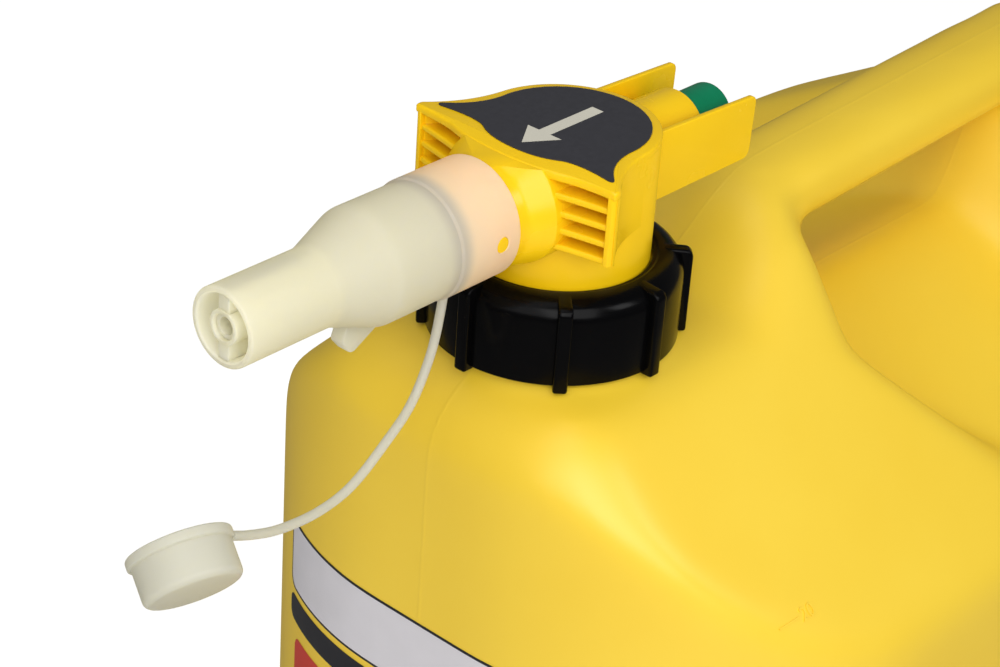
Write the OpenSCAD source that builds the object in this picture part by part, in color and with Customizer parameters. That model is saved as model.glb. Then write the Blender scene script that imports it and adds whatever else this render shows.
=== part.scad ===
// Fuel can with a push-button pouring spout.
// The can stands on the plane z = 0, the spout points along -Y and the handle runs along +Y.
// Spout sizes are measured from the neck axis and from the lower edge of the screw collar.

/* [Can] */
// Length of the can from front to back
can_l = 345; // [325:1:380]
// Width of the can across the sides
can_w = 240; // [220:1:280]
// Height of the collar's lower edge above the floor
neck_z = 345; // [280:1:420]
// Distance from the neck axis to the front face
neck_front = 53; // [48:1:70]
// Radius of the front corners in plan
front_corner_r = 100; // [60:1:108]
// Radius of the rear corners in plan
rear_corner_r = 60; // [40:1:90]
// Radius of the upper front and rear edges
edge_r = 26; // [14:1:40]
// Radius of the lower edges
foot_r = 14; // [6:1:24]
// Height over the collar edge at which the two shoulder planes would meet
shoulder_apex = 43; // [40:1:50]
// Drop from the collar edge to the crest of the can
crest_drop = 2.8; // [2.4:0.1:6]
// Wall thickness of the can
wall = 3; // [1.6:0.1:5]

/* [Handle] */
// Width of the handle
handle_w = 39; // [32:1:42]
// Height of the handle section
handle_h = 25; // [22:1:28]
// Height of the handle's centre over the collar edge at its front end
handle_z = 12.5; // [11:0.5:16]
// Tilt of the handle up towards the rear, in degrees
handle_tilt = 2.35; // [1.5:0.05:3.5]
// Distance from the neck axis to the front end of the hand opening
grip_front = 122; // [110:1:135]
// Distance from the rear end of the hand opening to the back of the can
rear_post = 60; // [50:1:72]
// Drop from the collar edge to the floor of the hand opening
saddle_drop = 29; // [22:1:45]
// Fall of the hand opening's floor towards the sides, in degrees
saddle_fall = 23; // [15:1:30]
// Height over the collar edge at which the two rear roof planes would meet
rear_apex = 22; // [16:1:26]
// Fall of the rear roof towards the sides, in degrees
rear_fall = 30; // [26:1:34]

/* [Neck and collar] */
// Outer diameter of the neck
neck_d = 67; // [62:0.5:68]
// Wall thickness of the neck
neck_wall = 3.5; // [3:0.1:6]
// Room for the thread between the neck and the collar's skirt
thread_room = 2.5; // [1.5:0.1:3.5]
// Height of the collar
collar_h = 25.5; // [22:0.5:32]
// Thickness of the collar's skirt
collar_skirt = 3; // [2:0.1:3.5]
// Thickness of the collar's top
collar_top = 3; // [2:0.1:4]
// Radius of the collar's rounded shoulder
collar_round = 6; // [2:0.5:7]
// Number of grip ribs around the collar
collar_ribs = 8; // [6:1:16]
// Width of a grip rib
rib_w = 4.4; // [2:0.2:6]
// Height of a grip rib over the skirt
rib_out = 1.7; // [0.8:0.1:2.2]
// Length by which a rib reaches below the skirt
rib_drop = 0.8; // [0:0.1:1.2]
// Thickness of the neck gasket
gasket_t = 2; // [1:0.1:3]

/* [Spout housing] */
// Diameter of the housing drum
drum_d = 56.8; // [54:0.2:60]
// Height of the housing's top over the collar edge
drum_top = 66.7; // [64:0.1:72]
// Wall thickness of the housing
drum_wall = 2.6; // [1.8:0.1:3.2]
// Thickness of the spout flange that the collar clamps
flange_t = 3; // [2:0.1:4]
// Height of the nozzle and button axis over the collar edge
axis_z = 50; // [48:0.5:51]
// Distance by which a grip wing reaches out past the drum
wing_out = 10.6; // [6:0.2:15]
// Distance from the neck axis forward to the tip of a grip wing
wing_y = 22.3; // [18:0.1:26]
// Height of a grip wing
wing_h = 23; // [16:0.5:25]
// Number of louvre ribs in a grip wing
wing_ribs = 4; // [3:1:6]
// Thickness of a louvre rib
wing_rib_t = 2; // [1:0.1:2.6]
// Distance from the neck axis to the rear end of the guard fins
fin_reach = 70.5; // [62:0.5:80]
// Distance between the inner faces of the guard fins
fin_gap = 30; // [27:0.2:34]
// Thickness of a guard fin
fin_t = 2; // [1.5:0.1:3.5]
// Height of a guard fin
fin_h = 22; // [14:0.5:24]
// Thickness of the dark label on the housing
label_t = 0.3; // [0.2:0.1:0.6]
// Margin between the label and the edge of the housing's top
label_margin = 4; // [2:0.1:5]

/* [Button and valve] */
// Diameter of the push button
button_d = 18; // [16:0.2:20]
// Length of the button outside its guide at rest
button_out = 18; // [14:0.5:20]
// Travel of the button
button_travel = 9; // [6:0.5:10]
// Distance from the neck axis to the rear end of the button guide
guide_reach = 52.5; // [50:0.5:58]
// Wall thickness of the button guide
guide_wall = 2.95; // [2:0.05:4]
// Diameter of the valve stem
stem_d = 6; // [5:0.2:7]
// Bore of the valve stem
stem_bore = 3; // [2:0.1:3.6]
// Diameter of the valve poppet
poppet_d = 24; // [22:0.2:25]
// Diameter of the valve seat's opening
seat_d = 19; // [17:0.2:20]
// Distance from the neck axis forward to the valve seat
seat_y = 33; // [31:0.2:36]
// Wire diameter of the return spring
spring_wire = 1.2; // [0.8:0.1:1.4]
// Mean diameter of the return spring
spring_d = 11.8; // [11:0.1:12.4]
// Number of coils in the return spring
spring_turns = 8; // [5:1:10]

/* [Nozzle] */
// Outer diameter of the spigot that carries the nozzle
spigot_d = 32.4; // [30:0.1:33]
// Wall thickness of the spigot
spigot_wall = 3; // [2:0.1:3.5]
// Distance from the neck axis to the front end of the spigot
spigot_reach = 58; // [56:0.5:60]
// Outer diameter of the nozzle sleeve
sleeve_d = 36.7; // [35.4:0.1:40]
// Distance from the neck axis to the rear end of the sleeve
sleeve_y = 39; // [38:0.2:41]
// Length of the sleeve up to its step
sleeve_l = 23.2; // [20:0.2:26]
// Height of the step in front of the sleeve
sleeve_step = 0.6; // [0.2:0.1:1]
// Distance from the neck axis to the start of the cone
cone_y = 86; // [78:0.5:92]
// Length of the cone
cone_l = 17; // [12:0.5:24]
// Outer diameter of the nozzle tip
tip_d = 23.6; // [21:0.1:26]
// Distance from the neck axis to the tip's end
tip_y = 136.6; // [125:0.2:150]
// Wall thickness of the nozzle
nozzle_wall = 2; // [1.4:0.1:2.4]
// Outer diameter of the vent tube
vent_d = 7.8; // [7:0.1:8.2]
// Bore of the vent tube
vent_bore = 5.2; // [4:0.1:5.6]
// Depth of the catch hook under the cone
hook_drop = 26; // [22:0.2:28]
// Width of the catch hook
hook_w = 5; // [3:0.2:7]

/* [Tether and dust cap] */
// Thickness of the tether
tether_d = 2.8; // [2:0.1:3.6]
// Outer diameter of the dust cap
cap_d = 28; // [27:0.2:32]
// Height of the dust cap
cap_h = 14; // [10:0.5:20]
// Height of the rim around the dust cap's mouth
cap_rim_h = 2.6; // [1.6:0.1:4]
// Width by which the rim stands out
cap_rim_out = 1; // [0.4:0.1:2]

/* [Clearances] */
// Free gap between pieces that turn or lift past each other
slip = 0.3; // [0.2:0.05:0.5]
// Radial play of a sliding stem or button
play = 0.06; // [0.03:0.01:0.1]
// Gap left at the joint between the can and its neck
weld = 0.05; // [0.02:0.01:0.1]
// Gap left at a face that seals
seal_gap = 0.1; // [0.05:0.05:0.2]

/* [Hidden] */
$fn = 64;

yellow = "gold";
black = "#1c1c1e";
milky = "#e9e6d2";
green = "#0f7a4a";

// Places along the can, from the neck axis
front_y = -neck_front;
back_y = can_l - neck_front;
neck_y = neck_front - can_l / 2;
base_z = -neck_z;
grip_rear = back_y - rear_post;
handle_top = handle_z + handle_h / 2;
// Middle from which the can's sections are drawn, well inside every section
mid_z = base_z * 0.55;
// Sharpness of the sections' rounded corners
sharp = 48;
// Length over which the shoulder turns into the hand opening
scoop_l = 34;
// Place at which the opening's front rim stands farthest forward
rim_x = 57;
rim_y = grip_front - 46;

// Diameters of the neck's bore and the collar
neck_bore_d = neck_d - 2 * neck_wall;
collar_d = neck_d + 2 * (thread_room + collar_skirt);

// Place and length of the rise from the crest to the handle
rise_y = collar_d / 2 + rib_out + 1.3;
rise_l = 54;

// Heights of the clamped stack under the collar's top
flange_z = collar_h - collar_top - slip - flange_t;
gasket_z = flange_z - gasket_t;
rim_z = gasket_z - seal_gap;
neck_foot = 0.4 - crest_drop;

// Radii and places in the spout
drum_r = drum_d / 2;
wing_x = drum_r + wing_out;
chamber_r = drum_r - drum_wall;
plate_t = 2.8;
nub_r = 2.5;
web_t = 3;
label_gap = 0.1;
button_r = button_d / 2;
guide_bore = button_r + play * 3;
guide_r = guide_bore + guide_wall;
stem_r = stem_d / 2;
spigot_r = spigot_d / 2;
spigot_bore = spigot_r - spigot_wall;
sleeve_r = sleeve_d / 2;
sleeve_bore = spigot_r + slip - 0.1;
tip_r = tip_d / 2;
vent_r = vent_d / 2;
button_y = guide_reach + button_out;
button_wall = 1.5;
button_end = 4.5;
button_l = 24.5;
washer_t = 1.3;
oring_t = 2.4;
pocket_y = drum_r + 1.6;
pocket_l = oring_t + 0.2;
washer_y = pocket_y;
spring_y0 = washer_y + washer_t;
spring_y1 = button_y - button_end;
poppet_seal_t = 1.9;
poppet_y = seat_y + seal_gap + poppet_seal_t;
poppet_t = 3;
sleeve_end = poppet_y + poppet_t + 15;
vent_y0 = poppet_y + poppet_t + button_travel + 0.5;

// Route of the tether from the sleeve to the dust cap
tether_route = [[0, -50, 31], [0, -50.5, 25], [1, -55, 11], [2.5, -64, -2], [5, -77, -9],
                [7.5, -93, -15.5], [10, -109, -16], [12.5, -126, -12.5], [15, -139, -7], [16, -147, -3]];
// Place of the dust cap's mouth and the way its closed end faces
cap_at = [8, -159, -4];
cap_tilt = 129;
cap_turn = -17;

function smooth(u) = let (k = min(1, max(0, u))) k * k * (3 - 2 * k);
function bezier(a, b, c, n) = [for (i = [0:n]) let (u = i / n)
    (1 - u) * (1 - u) * a + 2 * u * (1 - u) * b + u * u * c];
function spline(p, i, u) = let (
    a = p[max(0, i - 1)], b = p[i], c = p[i + 1], d = p[min(len(p) - 1, i + 2)])
    0.5 * (2 * b + (c - a) * u + (2 * a - 5 * b + 4 * c - d) * u * u + (3 * b - a - 3 * c + d) * u * u * u);

module at_neck() {
    translate([0, neck_y, neck_z]) children();
}

// Turns a shape drawn along +Z so that it runs forward along the nozzle axis
module forward() {
    translate([0, 0, axis_z]) rotate([90, 0, 0]) children();
}

module rod(r, y0, y1) {
    forward() translate([0, 0, -max(y0, y1)]) cylinder(r = r, h = abs(y1 - y0));
}

// Closed skin over rings that all have the same number of points
function skin_faces(rings, n) = concat(
    [[for (i = [n - 1:-1:0]) i]],
    [for (k = [0:rings - 2]) for (i = [0:n - 1]) let (j = (i + 1) % n)
        [k * n + i, k * n + j, (k + 1) * n + i]],
    [for (k = [0:rings - 2]) for (i = [0:n - 1]) let (j = (i + 1) % n)
        [k * n + j, (k + 1) * n + j, (k + 1) * n + i]],
    [[for (i = [0:n - 1]) (rings - 1) * n + i]]);

// Half width of the can's plan at y, with the skin moved inward by t
function half_w(y, t) = let (
    f = max(0, front_y + front_corner_r - y),
    b = max(0, y - back_y + rear_corner_r))
    f > 0 ? can_w / 2 - front_corner_r + sqrt(max(0, pow(front_corner_r - t, 2) - f * f)) :
    b > 0 ? can_w / 2 - rear_corner_r + sqrt(max(0, pow(rear_corner_r - t, 2) - b * b)) :
    can_w / 2 - t;

// Amount by which a rounded end edge of radius r draws the top or the base in
function end_inset(y, r, t) = let (
    a = max(0, front_y + r - y, y - back_y + r))
    r - sqrt(max(0, pow(r - t, 2) - a * a));

// Crest of the can along its length: low under the collar, rising into the handle
function crest(y) = -crest_drop + (handle_top + crest_drop) * smooth((y - rise_y) / rise_l)
    + tan(handle_tilt) * max(0, y - rise_y - rise_l);

// Share of the hand opening in the section at x, y, whose front end moves forward with the skin
function scoop(x, y, t) = let (
    rim = rim_y + (abs(x) < rim_x ? 0.3 * (rim_x - abs(x)) : 0.9 * (abs(x) - rim_x)))
    smooth((y + 2 * t - rim) / scoop_l);

// Distance from the section's middle to a wall at distance d whose normal stands at angle a
function pull(d, a, phi) = pow(max(0, cos(phi - a)) / d, sharp);

// Radius of the can's section at y in direction phi, with the skin moved inward by t
function section_r(y, phi, t) = let (
    e = end_inset(y, edge_r, t),
    f = end_inset(y, foot_r, t),
    w = half_w(y, t),
    sides = pull(w, 0, phi) + pull(w, 180, phi) + pull(mid_z - base_z - f + 0.6, -90, phi),
    apex = (shoulder_apex - mid_z) * cos(45) - e,
    closed = pow(sides + pull(apex, 45, phi) + pull(apex, 135, phi)
        + pull(crest(y) - mid_z - e, 90, phi), -1 / sharp),
    floor_d = (-saddle_drop - mid_z) * cos(saddle_fall) - e,
    open = pow(sides + pull(floor_d, 90 - saddle_fall, phi) + pull(floor_d, 90 + saddle_fall, phi), -1 / sharp),
    rear_d = (rear_apex - mid_z) * cos(rear_fall) - e,
    rear = pow(sides + pull(rear_d, 90 - rear_fall, phi) + pull(rear_d, 90 + rear_fall, phi), -1 / sharp),
    shut = smooth((y - 2 * t - grip_rear + 18) / 32))
    closed + (open + (rear - open) * shut - closed) * scoop(closed * cos(phi), y, t);

// Direction of point i of a half section: top, then the side, then the base
function section_phi(y, i, n, t) = let (
    w = half_w(y, t),
    top = min(crest(y), shoulder_apex - w) - end_inset(y, edge_r, t),
    corner = atan2(top - mid_z, w),
    heel = atan2(base_z + end_inset(y, foot_r, t) - mid_z, w),
    a = floor(n * 0.5),
    b = floor(n * 0.8))
    i <= a ? 90 + (corner - 4 - 90) * i / a :
    i <= b ? corner - 4 + (heel + 3 - corner + 4) * (1 - cos(180 * (i - a) / (b - a))) / 2 :
    heel + 3 + (-90 - heel - 3) * pow((i - b) / (n - b), 1.6);

function section_point(y, phi, t) = let (
    r = section_r(y, phi, t))
    [r * cos(phi), y, max(base_z + t, mid_z + r * sin(phi))];

function section(y, n, t) = concat(
    [for (i = [0:n]) let (p = section_point(y, section_phi(y, i, n, t), t)) [-p[0], p[1], p[2]]],
    [for (i = [n - 1:-1:1]) section_point(y, section_phi(y, i, n, t), t)]);

// Stations along the can, close together where the ends curve
function stations(t, ends, middle) = concat(
    [for (i = [0:ends]) front_y + front_corner_r - (front_corner_r - t) * cos(90 * i / ends)],
    [for (i = [1:middle]) front_y + front_corner_r + (can_l - front_corner_r - rear_corner_r) * i / middle],
    [for (i = [1:ends]) back_y - rear_corner_r + (rear_corner_r - t) * sin(90 * i / ends)]);

module can_skin(t, ends, middle, n) {
    ys = stations(t, ends, middle);
    rings = [for (y = ys) section(y, n, t)];
    polyhedron([for (s = rings) for (p = s) p], skin_faces(len(ys), 2 * n), convexity = 6);
}

// Handle bar with a rounded section, drawn in by t, whose ends shrink and sink into the can
handle_y0 = rise_y + rise_l - 22;
handle_y1 = back_y - edge_r / 2;
handle_end = 20;
function handle_mid(y) = handle_z + tan(handle_tilt) * (y - rise_y - rise_l);
function handle_ring(y, t) = let (
    near = max(0, 1 - min(y - handle_y0, handle_y1 - y) / handle_end),
    k = 1 - 0.4 * near * near)
    [for (i = [0:23]) let (c = cos(90 + 15 * i), s = sin(90 + 15 * i))
        [sign(c) * pow(abs(c), 0.8) * (handle_w / 2 - t) * k, y,
         handle_mid(y) - 12 * near * near + sign(s) * pow(abs(s), 0.8) * (handle_h / 2 - t) * k]];

module handle_bar(t) {
    span = handle_y1 - handle_y0 - 2 * t;
    rings = [for (i = [0:12]) handle_ring(handle_y0 + t + span * (1 - cos(15 * i)) / 2, t)];
    polyhedron([for (s = rings) for (p = s) p], skin_faces(13, 24), convexity = 4);
}

// Blow-moulded can with its handle and neck
module tank() {
    color(yellow) at_neck() difference() {
        union() {
            can_skin(0, 9, 26, 32);
            handle_bar(0);
            translate([0, 0, -crest_drop - wall + 0.4]) cylinder(d = neck_d + 5, h = neck_foot + crest_drop + wall - 0.4);
        }
        can_skin(wall, 6, 26, 20);
        handle_bar(wall);
        translate([0, 0, -crest_drop - 4 * wall]) cylinder(d = neck_bore_d, h = neck_foot + crest_drop + 5 * wall);
    }
}

// Neck that the collar screws on, standing on the can's flat land
module neck() {
    color(yellow) at_neck() translate([0, 0, neck_foot + weld]) difference() {
        cylinder(d = neck_d, h = rim_z - neck_foot - weld);
        translate([0, 0, -1]) cylinder(d = neck_bore_d, h = rim_z - neck_foot + 2);
    }
}

// Screw collar with a rounded shoulder and grip ribs that stand up from it
module collar() {
    r = collar_d / 2;
    inner = r - collar_skirt;
    hole = drum_r + 2 * slip;
    root = r - collar_round + 0.5;
    rib = [[r - 2, -rib_drop], [r + rib_out, -rib_drop], [r + rib_out, collar_h - 1.4], [root, collar_h - 0.4],
        [root, collar_h - collar_top + 0.6], [r - 2, collar_h - collar_top + 0.6]];
    color(black) at_neck() union() {
        rotate_extrude() polygon(concat([[inner, 0], [r, 0]],
            [for (i = [0:5]) [r, collar_h] - collar_round * [1 - cos(18 * i), 1 - sin(18 * i)]],
            [[hole, collar_h], [hole, collar_h - collar_top], [inner, collar_h - collar_top]]));
        for (i = [0:collar_ribs - 1]) rotate(360 * i / collar_ribs)
            rotate([90, 0, 0]) translate([0, 0, -rib_w / 2]) linear_extrude(rib_w) polygon(rib);
    }
}

// Flat gasket between the spout flange and the neck rim
module neck_gasket() {
    color(black) at_neck() translate([0, 0, gasket_z]) difference() {
        cylinder(d = neck_d + 1, h = gasket_t);
        translate([0, 0, -1]) cylinder(d = neck_bore_d - 4, h = gasket_t + 2);
    }
}

// Right half of the housing's top outline: front edge, wing tip, then the drum
plate_r = drum_r + 0.5;
function wing_rear(inset) = bezier([wing_x - 0.4 - inset, -wing_y + 1.2], [drum_r * 1.05 - inset, -wing_y * 0.5],
    (drum_r + 0.4 - inset) * [cos(4), sin(4)], 8);
function plate_half() = concat(
    bezier([0, -wing_y - 7], [wing_x * 0.33, -wing_y - 6.8], [wing_x * 0.56, -wing_y - 3.6], 5),
    bezier([wing_x * 0.62, -wing_y - 2.9], [wing_x * 0.78, -wing_y - 1.7], [wing_x - 0.6, -wing_y - 1.6], 4),
    [[wing_x, -wing_y]],
    wing_rear(0),
    [for (i = [1:10]) plate_r * [cos(4 + 8.6 * i), sin(4 + 8.6 * i)]]);

module plate_outline() {
    half = plate_half();
    other = [for (i = [len(half) - 1:-1:1]) [-half[i][0], half[i][1]]];
    polygon(concat(half, other));
}

// One louvred grip wing on the right side, closed behind by a curved web
module grip_wing() {
    z0 = drum_top - wing_h;
    h = wing_h - plate_t / 2;
    pitch = (wing_h - plate_t) / wing_ribs;
    tip = [wing_x - 0.4, -wing_y];
    translate([0, 0, z0]) linear_extrude(h)
        polygon(concat([tip], wing_rear(0.6), [[drum_r - 4, 1], [drum_r - 1.4, -wing_y * 0.5], [wing_x - 3.4, -wing_y]]));
    translate([0, 0, z0]) linear_extrude(h)
        polygon([[wing_x - 3, -wing_y + 1], [wing_x - 2.6, -wing_y - 1.8], [wing_x - 1, -wing_y - 1.4], tip]);
    for (i = [0:wing_ribs - 1]) translate([0, 0, z0 + pitch * i]) linear_extrude(wing_rib_t)
        polygon(concat([[drum_r - 5, 0]], bezier([spigot_r - 1, -wing_y - 4.6], [wing_x * 0.66, -wing_y - 2.4],
            [wing_x - 2, -wing_y - 1], 6), [[wing_x - 2, -wing_y + 0.6]]));
}

// One guard fin beside the button, on the right side
module guard_fin() {
    z0 = axis_z + 11.5 - fin_h;
    translate([fin_gap / 2, 0, 0]) rotate([90, 0, 90]) linear_extrude(fin_t)
        polygon([[drum_r * 0.5, z0], [fin_reach - 3, z0], [fin_reach, z0 + 2.6], [fin_reach + 0.8, z0 + fin_h - 1],
                 [drum_r * 0.5, z0 + fin_h + 1.6]]);
}

// Outer form of the spout housing: flange, drum, top plate with wings, spigot, button guide and fins
module housing_form() {
    translate([0, 0, flange_z]) cylinder(r = neck_d / 2 + 1, h = flange_t);
    translate([0, 0, flange_z]) cylinder(r = drum_r, h = drum_top - plate_t / 2 - flange_z);
    translate([0, 0, drum_top - plate_t]) linear_extrude(plate_t) plate_outline();
    grip_wing();
    mirror([1, 0, 0]) grip_wing();
    guard_fin();
    mirror([1, 0, 0]) guard_fin();
    rod(spigot_r, 0, -spigot_reach);
    intersection() {
        forward() translate([0, 0, drum_r - 4]) cylinder(r1 = spigot_r + 3, r2 = spigot_r + 0.4, h = sleeve_y - drum_r + 3);
        translate([-drum_d, -2 * drum_d, 0]) cube([2 * drum_d, 2 * drum_d, drum_top - 0.3]);
    }
    rod(guide_r, 0, guide_reach);
    translate([-sleeve_r + 0.6, -sleeve_y - 6.6, axis_z]) rotate([0, 90, 0]) cylinder(r = nub_r, h = sleeve_d - 1.2);
}

// Moulded spout housing with its chamber, valve seat and button guide
module spout_housing() {
    color(yellow) at_neck() difference() {
        union() {
            difference() {
                housing_form();
                translate([0, 0, flange_z - 1]) cylinder(r = chamber_r, h = drum_top - plate_t - 0.4 - flange_z + 1);
            }
            rod(stem_r + oring_t + 2, drum_r - 9, drum_r - 1);
        }
        rod(spigot_bore, -seat_y, -spigot_reach - 1);
        rod(seat_d / 2, -drum_r * 0.5, -seat_y - 1);
        rod(guide_bore, washer_y, guide_reach + 1);
        rod(stem_r + play, drum_r * 0.5, pocket_y);
        rod(stem_r + oring_t + play, pocket_y - pocket_l, pocket_y + 1);
        forward() rotate_extrude() translate([spigot_r - 1.2, sleeve_y + 13.4]) square([2, 2.2]);
    }
}

// Thin dark label on top of the housing
module spout_label() {
    color(black) at_neck() translate([0, 0, drum_top + label_gap]) linear_extrude(label_t)
        offset(delta = -label_margin) plate_outline();
}

// Push button, hollow in front, with a boss for the stem
module push_button() {
    r = button_r;
    color(green) at_neck() forward() translate([0, 0, -button_y]) difference() {
        rotate_extrude() polygon(concat(
            [[0, 0]], [for (i = [0:5]) [r - 1.2 + 1.2 * sin(18 * i), 1.2 - 1.2 * cos(18 * i)]],
            [[r, button_l], [r - button_wall, button_l], [r - button_wall, button_end],
             [stem_r + 1.3, button_end], [stem_r + 1.3, button_end + 14], [0, button_end + 14]]));
        translate([0, 0, button_end + 2]) cylinder(r = stem_r, h = 20);
    }
}

// Hollow stem from the button to the poppet, with a cross hole for air
module valve_stem() {
    color("silver") at_neck() difference() {
        rod(stem_r, button_y - button_end - 2, -poppet_y - poppet_t / 3);
        rod(stem_bore / 2, 8, -poppet_y - poppet_t);
        translate([0, 8, axis_z - stem_d]) cylinder(d = stem_bore, h = stem_d * 2);
    }
}

// Compression spring: pitch is close at both ends and open between them
spring_rings = 8;
spring_pitch_end = spring_wire + 0.6;
spring_len = spring_y1 - spring_y0 - spring_wire - 2 * seal_gap;
function spring_rise(k) = let (
    free = (spring_len - 2 * spring_pitch_end) / (spring_turns - 2))
    k < 1 ? k * spring_pitch_end :
    k > spring_turns - 1 ? spring_len - (spring_turns - k) * spring_pitch_end :
    spring_pitch_end + (k - 1) * free;
function spring_point(i) = let (k = i / spring_rings)
    [spring_d / 2 * cos(360 * k), spring_d / 2 * sin(360 * k), spring_rise(k)];
function tube_ring(c, along, r, n) = let (
    d = along / norm(along),
    side = abs(d[2]) > 0.9 ? [1, 0, 0] : [0, 0, 1],
    u = cross(side, d) / norm(cross(side, d)),
    v = cross(d, u))
    [for (i = [0:n - 1]) c + r * (cos(360 * i / n) * u + sin(360 * i / n) * v)];
module tube(points, r, n) {
    last = len(points) - 1;
    rings = [for (i = [0:last])
        tube_ring(points[i], points[min(last, i + 1)] - points[max(0, i - 1)], r, n)];
    polyhedron([for (s = rings) for (p = s) p], skin_faces(last + 1, n), convexity = 10);
}
spring_count = spring_turns * spring_rings;
spring_gap = min([for (i = [0:spring_count - spring_rings])
    norm(spring_point(i + spring_rings) - spring_point(i))]) - spring_wire;
echo(spring_gap = spring_gap);

module return_spring() {
    color("silver") at_neck() forward() translate([0, 0, -spring_y1 + spring_wire / 2 + seal_gap])
        tube([for (i = [0:spring_count]) spring_point(i)], spring_wire / 2, 6);
}

// Round seal ring around the nozzle axis at y
module seal_ring(inner, thick, y) {
    forward() translate([0, 0, -y]) rotate_extrude() translate([inner + thick / 2, 0]) circle(d = thick, $fn = 32);
}

module stem_seal() {
    color(black) at_neck() seal_ring(stem_r + play, oring_t - play, pocket_y - pocket_l / 2);
}

module spring_washer() {
    color("silver") at_neck() difference() {
        rod(guide_bore - play, washer_y, washer_y + washer_t);
        rod(stem_r + slip, washer_y - 1, washer_y + washer_t + 1);
    }
}

// Valve poppet with its stem socket and the sleeve that slides on the vent tube
module valve_poppet() {
    color(milky) at_neck() difference() {
        union() {
            rod(poppet_d / 2, -poppet_y, -poppet_y - poppet_t);
            rod(seat_d / 2 - 1, -seat_y - seal_gap, -poppet_y);
            rod(stem_r + 2, -seat_y + 7, -poppet_y);
            rod(vent_r + 1.7, -poppet_y, -sleeve_end);
        }
        rod(stem_r, -seat_y + 8, -poppet_y - poppet_t / 3);
        rod(stem_bore / 2, 0, -sleeve_end);
        rod(vent_r + play, -poppet_y - poppet_t, -sleeve_end - 1);
    }
}

module poppet_seal() {
    color(black) at_neck() difference() {
        rod(poppet_d / 2 - 0.4, -seat_y - seal_gap, -poppet_y);
        rod(seat_d / 2 - 1, -seat_y, -poppet_y - 1);
    }
}

// Pouring nozzle: sleeve, step, cone and tip, with the web that holds the vent tube
module nozzle() {
    body_r = sleeve_r - sleeve_step;
    w = nozzle_wall;
    step_y = sleeve_y + sleeve_l;
    seat = spigot_reach + slip;
    color(milky) at_neck() {
        difference() {
            union() {
                forward() rotate_extrude() polygon([
                    [sleeve_bore, sleeve_y], [sleeve_r, sleeve_y], [sleeve_r, step_y], [body_r, step_y + 0.6],
                    [body_r, cone_y], [tip_r, cone_y + cone_l], [tip_r, tip_y], [tip_r - w, tip_y],
                    [tip_r - w, cone_y + cone_l + 0.8], [body_r - w, cone_y + 0.8], [body_r - w, seat],
                    [sleeve_bore, seat]]);
                translate([-hook_w / 2, 0, axis_z]) rotate([90, 0, 90]) linear_extrude(hook_w)
                    polygon([[-cone_y - 8, -body_r + 4], [-cone_y - 8.5, -hook_drop + 5.6], [-cone_y - 3, -hook_drop],
                        [-cone_y - 1, -hook_drop], [-cone_y + 10, -body_r + 1]]);
                translate([0, -50, axis_z - sleeve_r - 2]) cylinder(r = tether_d / 2 + 1, h = 3);
            }
            translate([-sleeve_d, -sleeve_y - 6.6, axis_z]) rotate([0, 90, 0]) cylinder(r = nub_r + slip, h = 2 * sleeve_d);
            forward() translate([0, 0, cone_y]) cylinder(r1 = body_r - w, r2 = tip_r - w, h = cone_l + 0.8);
            translate([0, -50, axis_z - sleeve_r - 3]) cylinder(r = tether_d / 2, h = 2.5);
        }
        difference() {
            union() {
                rod(vent_r + 1.3, -tip_y + 1.6, -tip_y + 26);
                translate([-web_t / 2, -tip_y + 1.6, axis_z - tip_r + w / 2]) cube([web_t, 24.4, tip_d - w]);
            }
            rod(vent_r, 0, -tip_y);
        }
    }
}

module nozzle_seal() {
    color(black) at_neck() seal_ring(spigot_r - 1.2, 1.3, -sleeve_y - 14.5);
}

module vent_tube() {
    color(milky) at_neck() difference() {
        rod(vent_r, -vent_y0, -tip_y + 1.6);
        rod(vent_bore / 2, -vent_y0 + 1, -tip_y);
    }
}

// Tether: one tube swept along its route
module tether() {
    steps = 3;
    last = len(tether_route) - 2;
    color(milky) at_neck() tube(concat([for (i = [0:last]) for (k = [0:steps - 1])
        spline(tether_route, i, k / steps)], [tether_route[last + 1]]), tether_d / 2, 8);
}

// Dust cap that fits over the nozzle tip, hanging on the tether
module dust_cap() {
    r = cap_d / 2;
    bore = tip_r + slip;
    color(milky) at_neck() translate(cap_at) rotate([0, cap_tilt, cap_turn]) rotate_extrude() polygon(concat(
        [[0, cap_h - 2], [bore, cap_h - 2], [bore, 0], [r + cap_rim_out, 0], [r + cap_rim_out, cap_rim_h],
         [r, cap_rim_h + 0.6]], [for (i = [0:4]) [r - 1.5 + 1.5 * cos(22.5 * i), cap_h - 1.5 + 1.5 * sin(22.5 * i)]],
        [[0, cap_h]]));
}

tank();
neck();
collar();
neck_gasket();
spout_housing();
spout_label();
push_button();
valve_stem();
return_spring();
stem_seal();
spring_washer();
valve_poppet();
poppet_seal();
nozzle();
nozzle_seal();
vent_tube();
tether();
dust_cap();
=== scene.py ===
import math

import bmesh
import bpy
from mathutils import Matrix, Vector
from mathutils.bvhtree import BVHTree


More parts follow.
